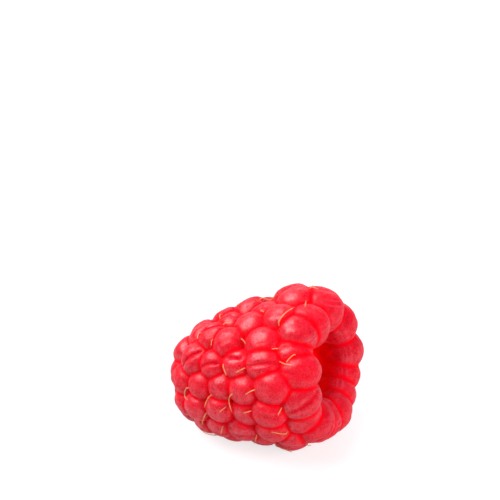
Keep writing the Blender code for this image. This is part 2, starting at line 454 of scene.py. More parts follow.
def skin_form(points, drupelets, outline, squareness, softness):
    """The rounded union of the drupelets and the cup at the points.

    depth is how far outside the skin a point is, and out the way to it from the skin. nearest is the
    drupelet that is closest, lead how much closer it is than the next, and cup how far the cup is.
    """
    best = np.full(len(points), FAR)
    second = np.full(len(points), FAR)
    nearest = np.full(len(points), -1)
    cup, cup_out = cup_depth(points, outline)
    weight = np.exp(np.clip(-cup / softness, -STEEPEST, STEEPEST))
    pull = weight[:, None] * cup_out
    for index, (near, depth, out) in enumerate(drupelet_depths(points, drupelets, squareness)):
        share = np.exp(np.clip(-depth / softness, -STEEPEST, STEEPEST))
        weight[near] += share
        pull[near] += share[:, None] * out
        first = depth < best[near]
        second[near] = np.where(first, best[near], np.minimum(second[near], depth))
        nearest[near[first]] = index
        best[near] = np.minimum(best[near], depth)
    out = pull / weight[:, None]
    out /= np.linalg.norm(out, axis=1)[:, None] + TINIEST
    return Form(-softness * np.log(weight), out, nearest, second - best, cup)


def drawn_onto_skin(points, drupelets, outline, squareness, softness, steps=6):
    """Moves the points onto the skin."""
    for _ in range(steps):
        form = skin_form(points, drupelets, outline, squareness, softness)
        points = points - np.clip(form.depth, -LONGEST_STEP, LONGEST_STEP)[:, None] * form.out
    return points


def smoothstep(low, high, values):
    share = np.clip((values - low) / (high - low), 0, 1)
    return share * share * (3 - 2 * share)


def noise_at(points, scale, seed):
    """Smooth noise from -1 to 1, with lumps of about that many mm."""
    return np.array([noise.noise(Vector(point) / scale + seed * NOISE_SHIFT) for point in points])


def farthest(drupelets, squareness, direction):
    """How far the drupelets reach in a direction along the fruit's own axes."""
    power = squareness / (squareness - 1)
    local = np.einsum("j,nji->ni", direction, drupelets.turns) * drupelets.sizes
    flat = np.hypot(local[:, 0], local[:, 1])
    reach = (flat**power + np.abs(local[:, 2]) ** power) ** (1 / power)
    return (drupelets.middles @ direction + reach).max()


def laid_down(points, drupelets, squareness):
    """Tilts points as the fruit lies and puts them where the frame's fruit is, in metres."""
    tilt = np.array(Matrix.Rotation(-TILT, 3, "Y"))
    high = np.array([farthest(drupelets, squareness, row) for row in tilt])
    low = -np.array([farthest(drupelets, squareness, -row) for row in tilt])
    shift = np.array((CAD_LOW + CAD_HIGH) / 2 / MM) - (low + high) / 2
    shift[2] = CAD_LOW.z / MM - FLAT_DEPTH - low[2]
    laid = points @ tilt.T + shift
    above = laid[:, 2] - CAD_LOW.z / MM
    laid[:, 2] += 0.5 * (np.sqrt(above**2 + SETTLED_EDGE**2) - above)
    return laid * MM


# ---- Blender helpers


def link_object(name, data):
    made = bpy.data.objects.new(name, data)
    bpy.context.scene.collection.objects.link(made)
    return made


def to_mesh(name, points, edges=(), faces=()):
    mesh = bpy.data.meshes.new(name)
    mesh.from_pydata([tuple(point) for point in points], edges, faces)
    mesh.update()
    return mesh


def read_points(mesh):
    points = np.empty(len(mesh.vertices) * 3)
    mesh.vertices.foreach_get("co", points)
    return points.reshape(-1, 3)


def write_points(mesh, points):
    mesh.vertices.foreach_set("co", np.asarray(points, np.float32).ravel())
    mesh.update()


def write_attribute(mesh, name, values, kind="FLOAT"):
    field = "vector" if kind == "FLOAT_VECTOR" else "value"
    attribute = mesh.attributes.new(name, kind, "POINT")
    attribute.data.foreach_set(field, np.asarray(values, np.float32).ravel())


def add_node(tree, kind, inputs=None, **settings):
    """A node with its settings made; inputs are values, or sockets to link from, by name or number."""
    node = tree.nodes.new(kind)
    for name, value in settings.items():
        setattr(node, name, value)
    for name, value in (inputs or {}).items():
        if isinstance(value, bpy.types.NodeSocket):
            tree.links.new(value, node.inputs[name])
        else:
            node.inputs[name].default_value = value
    return node


def new_tree(name, kind, inputs, outputs):
    """A node group and its inputs; each socket is given as a name, a kind and perhaps a default."""
    tree = bpy.data.node_groups.new(name, kind)
    for in_out, sockets in (("INPUT", inputs), ("OUTPUT", outputs)):
        for socket_name, socket_kind, *default in sockets:
            socket = tree.interface.new_socket(
                name=socket_name, in_out=in_out, socket_type="NodeSocket" + socket_kind
            )
            if default:
                socket.default_value = default[0]
    return tree, add_node(tree, "NodeGroupInput").outputs


def new_geometry_tree(name, *inputs):
    """A geometry tree that takes geometry and these inputs and gives geometry."""
    shape = ("Geometry", "Geometry")
    return new_tree(name, "GeometryNodeTree", (shape, *inputs), (shape,))


def math_node(tree, operation, first, second=0.0):
    return add_node(tree, "ShaderNodeMath", {0: first, 1: second}, operation=operation).outputs[0]


def times(tree, first, *others):
    for other in others:
        first = math_node(tree, "MULTIPLY", first, other)
    return first


def plus(tree, first, second):
    return math_node(tree, "ADD", first, second)


def rest_of(tree, share):
    return math_node(tree, "SUBTRACT", 1.0, share)


def named_attribute(tree, name, kind="FLOAT"):
    """What a geometry tree's points carry under a name."""
    node = add_node(tree, "GeometryNodeInputNamedAttribute", {"Name": name}, data_type=kind)
    return node.outputs[0]


def on_points(tree, points, instance, **inputs):
    """A copy of the instance on each point."""
    values = {"Points": points, "Instance": instance, **inputs}
    return add_node(tree, "GeometryNodeInstanceOnPoints", values).outputs[0]


def joined(tree, *parts):
    join = add_node(tree, "GeometryNodeJoinGeometry")
    for part in parts:
        tree.links.new(part, join.inputs[0])
    return join.outputs[0]


def finished_tree(tree, geometry, material):
    """Ends a geometry tree: what it grew is made real and given its material."""
    real = add_node(tree, "GeometryNodeRealizeInstances", {0: geometry}).outputs[0]
    painted = add_node(tree, "GeometryNodeSetMaterial", {"Geometry": real, "Material": material})
    add_node(tree, "NodeGroupOutput", {0: painted.outputs[0]})
    return tree


def grow(obj, tree, values):
    """Puts a geometry tree on an object, its inputs found by name and set by identifier."""
    modifier = obj.modifiers.new("grow", "NODES")
    modifier.node_group = tree
    for item in tree.interface.items_tree:
        if item.item_type == "SOCKET" and item.in_out == "INPUT" and item.name in values:
            modifier[item.identifier] = values[item.name]


def grown_mesh(obj, material):
    """The mesh that the object's modifiers make, all of one material. The object itself goes."""
    graph = bpy.context.evaluated_depsgraph_get()
    graph.update()
    mesh = bpy.data.meshes.new_from_object(obj.evaluated_get(graph))
    mesh.materials.clear()
    mesh.materials.append(material)
    bpy.data.objects.remove(obj)
    return mesh


def keep_as_piece(name, mesh, replaces=None):
    """Links a finished mesh as a piece that rides with the fruit's body."""
    piece = link_object(name, mesh)
    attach(piece, "root")
    if replaces:
        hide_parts(replaces)
    return piece


# ---- shader groups


def fine_mottle_group():
    """A mottled value from 0 to 1 on object coordinates: specks on top of soft patches."""
    if "fine_mottle" in bpy.data.node_groups:
        return bpy.data.node_groups["fine_mottle"]
    tree, inputs = new_tree(
        "fine_mottle",
        "ShaderNodeTree",
        (("Speck Size", "Float", 0.25 * MM), ("Patch Size", "Float", 2 * MM), ("Patchiness", "Float", 0.4)),
        (("Value", "Float"),),
    )
    place = add_node(tree, "ShaderNodeTexCoord").outputs["Object"]
    layers = []
    for size in ("Speck Size", "Patch Size"):
        scale = math_node(tree, "DIVIDE", 1.0, inputs[size])
        layer = add_node(tree, "ShaderNodeTexNoise", {"Vector": place, "Scale": scale, "Detail": 2.0})
        layers.append(layer.outputs["Fac"])
    mix = {0: inputs["Patchiness"], 2: layers[0], 3: layers[1]}
    mixed = add_node(tree, "ShaderNodeMix", mix, data_type="FLOAT").outputs[0]
    low, high = MOTTLE_RANGE
    spread = add_node(tree, "ShaderNodeMapRange", {"Value": mixed, "From Min": low, "From Max": high})
    add_node(tree, "NodeGroupOutput", {"Value": spread.outputs[0]})
    return tree


def use_mottle(tree, mottle):
    values = dict(zip(("Speck Size", "Patch Size", "Patchiness"), mottle))
    return add_node(tree, "ShaderNodeGroup", values, node_tree=fine_mottle_group()).outputs["Value"]


def mixed_colour(tree, share, first, second):
    """first where share is 0 and second where it is 1, each a colour or a socket."""
    mix = add_node(tree, "ShaderNodeMix", {0: share}, data_type="RGBA")
    for slot, colour in ((6, first), (7, second)):
        if isinstance(colour, bpy.types.NodeSocket):
            tree.links.new(colour, mix.inputs[slot])
        else:
            mix.inputs[slot].default_value = (*colour[:3], 1.0)
    return mix.outputs[2]


def attribute_value(tree, name):
    return add_node(tree, "ShaderNodeAttribute", attribute_name=name).outputs["Fac"]


def band(tree, value, low, high):
    """A smooth step from 0 at low to 1 at high, which may also be the smaller one."""
    values = {"Value": value, "From Min": low, "From Max": high}
    return add_node(tree, "ShaderNodeMapRange", values, interpolation_type="SMOOTHSTEP").outputs[0]


def spread(tree, share, low, high):
    """low where share is 0 and high where it is 1."""
    return add_node(tree, "ShaderNodeMapRange", {"Value": share, "To Min": low, "To Max": high}).outputs[0]


def mottled_material(name, finish, mottle, colours):
    """A material whose two colours are mixed by a mottle, with its tree, shader and colour."""
    material, tree, shader = new_material(name, finish)
    colour = mixed_colour(tree, use_mottle(tree, mottle), *colours)
    tree.links.new(colour, shader.inputs["Base Color"])
    return material, tree, shader, colour


def new_material(name, finish):
    """A material, its tree and its shader, with what is the same all over the surface set."""
    material = bpy.data.materials.new(name)
    material.use_nodes = True
    shader = material.node_tree.nodes["Principled BSDF"]
    for socket, value in finish.items():
        shader.inputs[socket].default_value = value
    return material, material.node_tree, shader


def skin_relief_group():
    """The finest relief of a drupelet: the line of its fold, pleats round its edge, and grain."""
    tree, inputs = new_tree(
        "skin_relief",
        "ShaderNodeTree",
        (("Grain", "Float", 0.5),),
        (("Line", "Float"), ("Bare", "Float"), ("Pleats", "Float"), ("Height", "Float")),
    )
    place = add_node(tree, "ShaderNodeAttribute", attribute_name="place").outputs["Vector"]
    _, across, out = add_node(tree, "ShaderNodeSeparateXYZ", {0: place}).outputs
    fruit = add_node(tree, "ShaderNodeTexCoord").outputs["Object"]
    wobble = add_node(tree, "ShaderNodeTexNoise", {"Vector": fruit, "Scale": WOBBLE_SCALE}).outputs["Fac"]
    wobble = times(tree, math_node(tree, "SUBTRACT", wobble, 0.5), LINE_WOBBLE)
    across = math_node(tree, "ABSOLUTE", plus(tree, across, wobble))
    fold = attribute_value(tree, "fold")
    line = times(tree, band(tree, across, *LINE_BAND), fold)
    bare = times(tree, band(tree, across, *BARE_BAND), fold)
    waves = times(tree, plus(tree, out, times(tree, wobble, PLEAT_WOBBLE)), PLEAT_WAVES)
    pleats = times(tree, math_node(tree, "SINE", waves), attribute_value(tree, "pleats"))
    height = math_node(tree, "SUBTRACT", times(tree, pleats, PLEAT_RELIEF), line)
    height = plus(tree, height, times(tree, inputs["Grain"], GRAIN_RELIEF))
    # Pleats gives the pleats' crests, on which the flesh paints its highlight
    add_node(
        tree,
        "NodeGroupOutput",
        {"Line": line, "Bare": bare, "Pleats": math_node(tree, "MAXIMUM", pleats, 0.0), "Height": height},
    )
    return tree


# ---- materials


def flesh_material(settings):
    """Soft clear flesh: bright red in the grooves, frosted with fine bloom on the caps, with a painted
    highlight on the crests of the pleats and the hollow's wall painted brighter to stand in for light
    shining through it.
    """
    material, tree, shader = new_material("ripe_flesh", FLESH_FINISH)
    grain = use_mottle(tree, GRAIN_MOTTLE)
    relief = add_node(tree, "ShaderNodeGroup", {0: grain}, node_tree=skin_relief_group()).outputs
    cap = attribute_value(tree, "cap")
    frosted = times(tree, attribute_value(tree, "frost"), rest_of(tree, relief["Bare"]))
    mottle = use_mottle(tree, BLOOM_MOTTLE)
    ripe = times(tree, attribute_value(tree, "tint"), DRUPELET_TINT)
    ripe = plus(tree, ripe, times(tree, rest_of(tree, mottle), SPECK_TINT))
    pores = band(tree, use_mottle(tree, PORE_MOTTLE), *PORE_BAND)
    bloom = times(tree, frosted, mottle, BLOOM_SHARE)
    # painted highlight: the pale colour is also laid on the crests of the pleats
    bloom = plus(tree, bloom, times(tree, relief["Pleats"], PLEAT_HIGHLIGHT))
    colour = mixed_colour(tree, cap, settings.groove_colour, settings.cap_colour)
    for share, over in (
        (times(tree, ripe, cap), settings.ripe_colour),
        (times(tree, pores, cap, PORE_SHARE), settings.pore_colour),
        (bloom, settings.bloom_and_highlight_colour),
        (times(tree, relief["Line"], LINE_SHARE), settings.fold_colour),
        # painted light: the hollow's wall is its own red, made brighter to stand in for light shining
        # through its thin walls
        (attribute_value(tree, "hollow"), settings.hollow_red_and_glow_colour),
    ):
        colour = mixed_colour(tree, share, colour, over)
    tree.links.new(colour, shader.inputs["Base Color"])
    tree.links.new(spread(tree, mottle, *FLESH_ROUGHNESS), shader.inputs["Roughness"])
    gloss = times(tree, frosted, spread(tree, mottle, *BLOOM_GLOSS))
    tree.links.new(gloss, shader.inputs["Coat Weight"])
    bump = {"Strength": 1.0, "Distance": RELIEF_DEPTH, "Height": relief["Height"]}
    bumped = add_node(tree, "ShaderNodeBump", bump).outputs[0]
    tree.links.new(bumped, shader.inputs["Normal"])
    return material


def down_material(settings):
    """Fine pale hairs, with some of the flesh's red painted on them to stand in for its light shining
    through them.
    """
    colours = (settings.pale_hair_glow_colour, settings.hair_flesh_glow_colour)
    return mottled_material("raspberry_down", DOWN_FINISH, DOWN_MOTTLE, colours)[0]


def style_material(settings):
    """Dry styles: pale straw, browner in patches, with a dark stigma at the end."""
    colours = (settings.style_colour, settings.old_style_colour)
    material, tree, shader, colour = mottled_material("dry_style", STYLE_FINISH, STYLE_MOTTLE, colours)
    colour = mixed_colour(tree, attribute_value(tree, "stigma"), colour, settings.stigma_colour)
    tree.links.new(colour, shader.inputs["Base Color"])
    return material


def floor_material(settings):
    """A pale floor that glows enough to look white, and shines less on the fruit than it shows."""
    material, tree, shader, _ = mottled_material("pale_floor", FLOOR_FINISH, FLOOR_MOTTLE, FLOOR_COLOURS)
    seen = add_node(tree, "ShaderNodeLightPath").outputs["Is Camera Ray"]
    glow = mixed_colour(tree, seen, (settings.floor_glow,) * 3, (settings.floor_white,) * 3)
    tree.links.new(glow, shader.inputs["Emission Color"])
    return material


# ---- flesh


def cup_object():
    """The cup, turned about X from its outline, at its size before it is tilted."""
    bm = bmesh.new()
    points = [bm.verts.new((along, 0, radius)) for along, radius in cup_outline()]
    edges = [bm.edges.new(pair) for pair in zip(points, points[1:])]
    bmesh.ops.spin(
        bm,
        geom=points + edges,
        cent=(0, 0, 0),
        axis=(1, 0, 0),
        angle=2 * math.pi,
        steps=CUP_STEPS,
        use_merge=True,
    )
    bmesh.ops.remove_doubles(bm, verts=bm.verts, dist=CUP_MERGE)
    bmesh.ops.recalc_face_normals(bm, faces=bm.faces)
    moved = slanted(np.array([vertex.co for vertex in bm.verts]))
    for vertex, place in zip(bm.verts, moved):
        vertex.co = place
    mesh = bpy.data.meshes.new("cup")
    bm.to_mesh(mesh)
    bm.free()
    return link_object("cup", mesh)


def drupelets_tree():
    """Grows a squared dome on each point, turned and sized by its attributes, round the cup."""
    tree, inputs = new_geometry_tree(
        "drupelets_on_cup",
        ("Cup", "Object"),
        ("Detail", "Int", 4),
        ("Squareness", "Float", 2.4),
        ("Flesh", "Material"),
    )
    ball = add_node(tree, "GeometryNodeMeshIcoSphere", {"Radius": 1.0, "Subdivisions": inputs["Detail"]})
    place = add_node(tree, "GeometryNodeInputPosition").outputs[0]
    x, y, z = add_node(tree, "ShaderNodeSeparateXYZ", {0: place}).outputs
    flat = math_node(tree, "SQRT", plus(tree, times(tree, x, x), times(tree, y, y)))
    power = inputs["Squareness"]
    flat = math_node(tree, "POWER", flat, power)
    tall = math_node(tree, "POWER", math_node(tree, "ABSOLUTE", z), power)
    stretch = math_node(tree, "POWER", plus(tree, flat, tall), math_node(tree, "DIVIDE", -1.0, power))
    moved = add_node(tree, "ShaderNodeVectorMath", {0: place, "Scale": stretch}, operation="SCALE")
    dome = add_node(
        tree, "GeometryNodeSetPosition", {"Geometry": ball.outputs["Mesh"], "Position": moved.outputs[0]}
    )
    turn = named_attribute(tree, "turn", "FLOAT_VECTOR")
    turn = add_node(tree, "FunctionNodeEulerToRotation", {0: turn}).outputs[0]
    size = named_attribute(tree, "size", "FLOAT_VECTOR")
    domes = on_points(tree, inputs["Geometry"], dome.outputs[0], Rotation=turn, Scale=size)
    cup = add_node(tree, "GeometryNodeObjectInfo", {"Object": inputs["Cup"]}).outputs["Geometry"]
    return finished_tree(tree, joined(tree, cup, domes), inputs["Flesh"])


def rough_skin(drupelets, material, settings):
    """The rough joined skin: the drupelets grown on the cup, made one by a voxel remesh."""
    mesh = to_mesh("drupelet_places", drupelets.middles)
    turns = [Matrix(turn).to_euler() for turn in drupelets.turns]
    write_attribute(mesh, "turn", turns, "FLOAT_VECTOR")
    write_attribute(mesh, "size", drupelets.sizes, "FLOAT_VECTOR")
    places = link_object("drupelet_places", mesh)
    cup = cup_object()
    grow(places, drupelets_tree(), {"Cup": cup, "Squareness": settings.squareness, "Flesh": material})
    join = places.modifiers.new("join", "REMESH")
    join.mode = "VOXEL"
    join.voxel_size = settings.skin_detail / MM
    join.adaptivity = 0
    skin = grown_mesh(places, material)
    bpy.data.objects.remove(cup)
    return skin


def drupelet_places(points, form, drupelets, chance):
    """Where the points are on their drupelets: along its fold, across it and out from its middle.

    Also how far they are from its middle towards the mouth.
    """
    count = len(drupelets.middles)
    own = np.maximum(form.nearest, 0)
    angles = chance.normal(0.0, FOLD_TURN, count)[own]
    bends = chance.normal(0.0, FOLD_BEND, count)[own]
    shifts = chance.normal(0.0, FOLD_SHIFT, count)[own]
    local = np.einsum("ni,nij->nj", points - drupelets.middles[own], drupelets.turns[own])
    down, beside, _ = (local / drupelets.sizes[own]).T
    along = down * np.cos(angles) + beside * np.sin(angles)
    across = beside * np.cos(angles) - down * np.sin(angles) + bends * along**2 + shifts
    return along, across, np.hypot(down, beside), down


def hollow_wall(points):
    """How far the points belong to the wall of the hollow, from 0 to 1."""
    straight = unslanted(points)
    along = straight[:, 0]
    wall_along, wall_radius = np.array(HOLLOW[::-1]).T
    outside = np.hypot(straight[:, 1], straight[:, 2]) - np.interp(along, wall_along, wall_radius)
    hollow = smoothstep(*WALL_FADE, outside) * smoothstep(*MOUTH_FADE, along)
    return hollow * (along > HOLLOW[-1][0] - WALL_REACH)


def wall_borders(points, drupelets):
    """How near the points are to the borders between the drupelets' roots, from 0 to 1."""
    first = np.full(len(points), FAR)
    second = np.full(len(points), FAR)
    for middle in drupelets.middles:
        away = np.linalg.norm(points - middle, axis=1)
        second = np.minimum(second, np.maximum(first, away))
        first = np.minimum(first, away)
    return np.exp(-(((second - first) / WALL_GROOVE_WIDTH) ** 2))


def build_flesh(settings):
    """The skin drawn onto its form, with its folds, pleats, dimples and lumps, and what they are where."""
    chance = np.random.default_rng(settings.seed)
    drupelets = drupelet_layout()
    count = len(drupelets.middles)
    skin = rough_skin(drupelets, flesh_material(settings), settings)
    shape = (drupelets, cup_outline(), settings.squareness, settings.groove_softness / MM)
    points = drawn_onto_skin(read_points(skin), *shape)
    form = skin_form(points, *shape)
    own = np.maximum(form.nearest, 0)
    hollow = hollow_wall(points)
    lead = np.minimum(form.lead, form.cup)
    lead += RAGGED_GROOVES * noise_at(points, RAGGED_WIDTH, settings.seed + 2)
    cap = smoothstep(*CAP_LEAD, lead) * (1 - hollow)
    on_cap = smoothstep(*FOLD_LEAD, lead) * (1 - hollow)
    along, across, out, down = drupelet_places(points, form, drupelets, chance)
    fold = drupelets.folds[own] * on_cap * smoothstep(*FOLD_ENDS, np.abs(along))
    valley = fold * np.exp(-((across / FOLD_WIDTH) ** 2))
    pleated = FAINTEST_PLEATS + (1 - FAINTEST_PLEATS) * chance.random(count)
    pleated *= drupelets.rings == len(RINGS) - 1
    pleats = pleated[own] * on_cap * smoothstep(*PLEATS_AROUND, down / (out + NEAR_MIDDLE))
    pleats *= smoothstep(*PLEAT_START, out)
    dimpled = chance.random(count) < DIMPLED
    from_dimple = (along - DIMPLE_PLACE[0]) ** 2 + (across - DIMPLE_PLACE[1]) ** 2
    dimple = dimpled[own] * on_cap * np.exp(-from_dimple / DIMPLE_SPREAD)
    lumps = sum(
        high * noise_at(points, wide, settings.seed + turn) for turn, (high, wide) in enumerate(LUMPS)
    )
    height = lumps * (GROOVE_LUMPS + (1 - GROOVE_LUMPS) * cap)
    height -= settings.fold_depth / MM * valley + DIMPLE_DEPTH * dimple
    height -= settings.wall_groove_depth / MM * hollow * wall_borders(points, drupelets)
    laid = laid_down(points + height[:, None] * form.out, drupelets, settings.squareness)
    write_points(skin, laid)
    tints = chance.random(count)
    frost = cap * (LEAST_FROST + (1 - LEAST_FROST) * chance.random(count))[own]
    clear = smoothstep(*DOWN_CLEAR, (laid[:, 2] - CAD_LOW.z) / MM)
    values = {"cap": cap, "hollow": hollow, "fold": fold, "pleats": pleats, "tint": tints[own]}
    values.update(frost=frost, downy=frost * clear)
    for name, value in values.items():
        write_attribute(skin, name, value)
    write_attribute(skin, "place", np.stack((along, across, out), axis=1), "FLOAT_VECTOR")
    skin.shade_smooth()
    return skin


# ---- dry styles


def style_starts():
    """The styles laid one by one, then others strewn over the rest of the fruit."""
    chance = np.random.default_rng(STYLE_SEED)
    styles = list(STYLES)
    for ring in RINGS[2:]:
        for angle, shift, _, _ in ring_angles(ring):
            around = angle % 360
            if STREWN_AROUND[0] < around < STREWN_AROUND[1] and chance.random() < STREWN_SHARE:
                styles.append(
                    Style(
                        ring.along + shift - chance.uniform(*STREWN_BEFORE),
                        around + chance.uniform(*STREWN_ASIDE),
                        chance.uniform(*STREWN_HEADING),
                        chance.uniform(*STREWN_LENGTH),
                        chance.normal(0, STREWN_CURL),
                        chance.uniform(*STREWN_LIFT),
                    )
                )
    return styles


def style_paths(styles, shape):
    """Each style's points, drawn over the skin from its root: one row of points for each step."""
    along, around, heading, length, curl, lift = np.array(styles, float).T
    around = np.radians(around)
    outwards = np.stack((np.zeros_like(around), -np.sin(around), np.cos(around)), axis=1)
    guess = np.interp(along, [ring.along for ring in RINGS], [ring.radius for ring in RINGS])
    place = (guess + STYLE_GUESS)[:, None] * outwards
    place[:, 0] = along
    place = drawn_onto_skin(slanted(place), *shape)
    axis = np.array((1.0, 0.0, 0.0))
    heading = np.radians(heading)
    rows = []
    for step in range(STYLE_STEPS + 1):
        share = step / STYLE_STEPS
        out = skin_form(place, *shape).out
        sunk = (STYLE_HEIGHT + STYLE_ROOT) * np.exp(-((length * share / STYLE_RISE) ** 2))
        rows.append(place + (STYLE_HEIGHT - sunk + lift * share**2)[:, None] * out)
        forward = axis - (out @ axis)[:, None] * out
        forward /= np.linalg.norm(forward, axis=1)[:, None]
        aside = np.cross(forward, out)
        way = np.cos(heading)[:, None] * forward + np.sin(heading)[:, None] * aside
        place = drawn_onto_skin(place + (length / STYLE_STEPS)[:, None] * way, *shape, steps=2)
        heading = heading + np.radians(curl) * length / STYLE_STEPS
    return np.array(rows)


def styles_tree():
    """Sweeps a tapering tube along each path and sets a stigma on its tip."""
    tree, inputs = new_geometry_tree(
        "styles_from_paths",
        ("Sides", "Int", 6),
        ("Stigma Size", "Float", 1.6),
        ("Dry Style", "Material"),
    )
    thickness = named_attribute(tree, "thickness")
    curves = add_node(tree, "GeometryNodeMeshToCurve", {0: inputs["Geometry"]}).outputs[0]
    ring = add_node(
        tree, "GeometryNodeCurvePrimitiveCircle", {"Resolution": inputs["Sides"], "Radius": 1.0}
    )
    tubes = add_node(
        tree,
        "GeometryNodeCurveToMesh",
        {"Curve": curves, "Profile Curve": ring.outputs[0], "Scale": thickness, "Fill Caps": True},
    )
    ball = add_node(tree, "GeometryNodeMeshIcoSphere", {"Radius": 1.0, "Subdivisions": 2})
    tip = named_attribute(tree, "tip", "BOOLEAN")
    size = times(tree, thickness, inputs["Stigma Size"])
    stigmas = on_points(tree, curves, ball.outputs[0], Selection=tip, Scale=size)
    return finished_tree(tree, joined(tree, tubes.outputs[0], stigmas), inputs["Dry Style"])


def build_styles(settings, flesh):
    """The styles, each a thin tube that lies over the flesh."""
    drupelets = drupelet_layout()
    shape = (drupelets, cup_outline(), flesh.squareness, settings.bridging / MM)
    styles = style_starts()
    rows = style_paths(styles, shape)
    laid = laid_down(rows.reshape(-1, 3), drupelets, flesh.squareness).reshape(rows.shape)
    clear = laid[:, :, 2].min(axis=0) > CAD_LOW.z + STYLE_CLEAR * MM
    laid = laid[:, clear]
    lengths = np.array([style.length for style in styles])[clear]
    steps, count = laid.shape[:2]
    starts = np.arange(steps * count).reshape(count, steps)[:, :-1].ravel()
    share = np.tile(np.linspace(0, 1, steps), count)
    edges = [(int(start), int(start) + 1) for start in starts]
    mesh = to_mesh("style_paths", laid.transpose(1, 0, 2).reshape(-1, 3), edges)
    write_attribute(mesh, "thickness", settings.thickness * (1 - STYLE_TAPER * share) / 2)
    darkness = PALE_STIGMA + (1 - PALE_STIGMA) * np.repeat(smoothstep(*DARK_STIGMAS, lengths), steps)
    write_attribute(mesh, "stigma", smoothstep(STIGMA_START, 1.0, share) * darkness)
    tips = mesh.attributes.new("tip", "BOOLEAN", "POINT")
    tips.data.foreach_set("value", share >= 1)
    paths = link_object("style_paths", mesh)
    material = style_material(settings)
    grow(paths, styles_tree(), {"Stigma Size": settings.stigma_size, "Dry Style": material})
    grown = grown_mesh(paths, material)
    grown.shade_smooth()
    return grown


# ---- down


def down_tree():
    """Strews fine hairs over a skin, as thick as its downy attribute says."""
    tree, inputs = new_geometry_tree(
        "down_on_skin",
        ("Density", "Float", 1.0),
        ("Length", "Float", 0.3 * MM),
        ("Thickness", "Float", 0.02 * MM),
        ("Lean", "Float", 0.7),
        ("Seed", "Int", 1),
        ("Down", "Material"),
    )
    density = times(tree, named_attribute(tree, "downy"), inputs["Density"])
    roots = add_node(
        tree,
        "GeometryNodeDistributePointsOnFaces",
        {"Mesh": inputs["Geometry"], "Density": density, "Seed": inputs["Seed"]},
    ).outputs
    hair = add_node(
        tree,
        "GeometryNodeMeshCone",
        {"Vertices": 3, "Radius Top": 0.0, "Radius Bottom": 1.0, "Depth": 1.0},
    )
    least = times(tree, inputs["Lean"], -1.0)
    lean = add_node(tree, "FunctionNodeRandomValue", {0: least, 1: inputs["Lean"]}, data_type="FLOAT_VECTOR")
    lean = add_node(tree, "FunctionNodeEulerToRotation", {0: lean.outputs[0]}).outputs[0]
    turn = add_node(
        tree, "FunctionNodeRotateRotation", {0: roots["Rotation"], 1: lean}, rotation_space="LOCAL"
    )
    growth = dict(zip((2, 3), HAIR_GROWTH))
    grown = add_node(tree, "FunctionNodeRandomValue", growth, data_type="FLOAT").outputs[1]
    size = add_node(
        tree,
        "ShaderNodeCombineXYZ",
        {0: inputs["Thickness"], 1: inputs["Thickness"], 2: times(tree, inputs["Length"], grown)},
    )
    hair = hair.outputs["Mesh"]
    hairs = on_points(tree, roots["Points"], hair, Rotation=turn.outputs[0], Scale=size.outputs[0])
    return finished_tree(tree, hairs, inputs["Down"])


def build_down(settings, skin):
    """Fine hairs on the caps of the drupelets, except where they lie on the surface."""
    material = down_material(settings)
    places = link_object("down_places", skin.copy())
    grow(
        places,
        down_tree(),
        {
            "Density": settings.hairs_per_square_mm / MM**2,
            "Length": settings.length,
            "Thickness": settings.thickness / 2,
            "Lean": settings.lean,
            "Seed": settings.seed,
            "Down": material,
        },
    )
    return grown_mesh(places, material)


# ---- stage


def aim(obj, target):
    """Turns a lamp or camera towards a point, upright."""
    back = (obj.location - target).normalized()
    right = Vector((0, 0, 1)).cross(back).normalized()
    obj.rotation_mode = "QUATERNION"
    obj.rotation_quaternion = Matrix((right, back.cross(right), back)).transposed().to_quaternion()


def set_camera(settings, middle, right):
    turn, rise = settings.azimuth, settings.elevation
    level = Vector((math.sin(turn), -math.cos(turn), 0))
    back = level * math.cos(rise) + Vector((0, 0, math.sin(rise)))
    lens = bpy.data.cameras.new("camera")
    lens.lens = settings.focal_length
    lens.clip_start = MM
    camera = link_object("camera", lens)
    camera.location = middle + back * settings.view_width * lens.lens / lens.sensor_width
    aim(camera, middle - right * settings.place_right + back.cross(right) * settings.place_down)
    bpy.context.scene.camera = camera


def set_room(settings):
    """A white room that the flesh reflects less than the view shows it."""
    world = bpy.data.worlds.new("white_room")
    bpy.context.scene.world = world
    world.use_nodes = True
    background = world.node_tree.nodes["Background"]
    background.inputs["Color"].default_value = (1, 1, 1, 1)
    rays = add_node(world.node_tree, "ShaderNodeLightPath").outputs
    strength = settings.room_light
    for ray, share in (("Is Glossy Ray", settings.room_reflection), ("Is Camera Ray", ROOM_WHITE)):
        mix = {0: rays[ray], 2: strength, 3: share}
        strength = add_node(world.node_tree, "ShaderNodeMix", mix, data_type="FLOAT").outputs[0]
    world.node_tree.links.new(strength, background.inputs["Strength"])


def set_softboxes(settings, middle, right):
    up = Vector((0, 0, 1))
    for place, power in zip(SOFTBOXES, (settings.key_power, settings.back_power, settings.fill_power)):
        lamp = bpy.data.lights.new(place.name, "AREA")
        lamp.shape = "RECTANGLE"
        lamp.size, lamp.size_y = place.width, place.height
        lamp.energy = power
        lamp.color = SOFTBOX_COLOUR
        box = link_object(place.name, lamp)
        direction = right * place.right + up.cross(right) * place.away + up * place.up
        box.location = middle + direction.normalized() * place.distance
        box.visible_glossy = place.shines
        aim(box, middle)


def build_stage(settings):
    """The camera, the white room, the softboxes and the floor."""
    middle = (CAD_LOW + CAD_HIGH) / 2
    right = Vector((math.cos(settings.azimuth), math.sin(settings.azimuth), 0))
    set_camera(settings, middle, right)
    set_room(settings)
    set_softboxes(settings, middle, right)
    bpy.context.scene.view_settings.view_transform = "Standard"
    corners = [(x * FLOOR_REACH, y * FLOOR_REACH, 0) for x, y in ((-1, -1), (1, -1), (1, 1), (-1, 1))]
    floor = link_object("floor", to_mesh("floor", corners, faces=[(0, 1, 2, 3)]))
    floor.location.z = CAD_LOW.z
    floor.data.materials.append(floor_material(settings))


# ---- settings


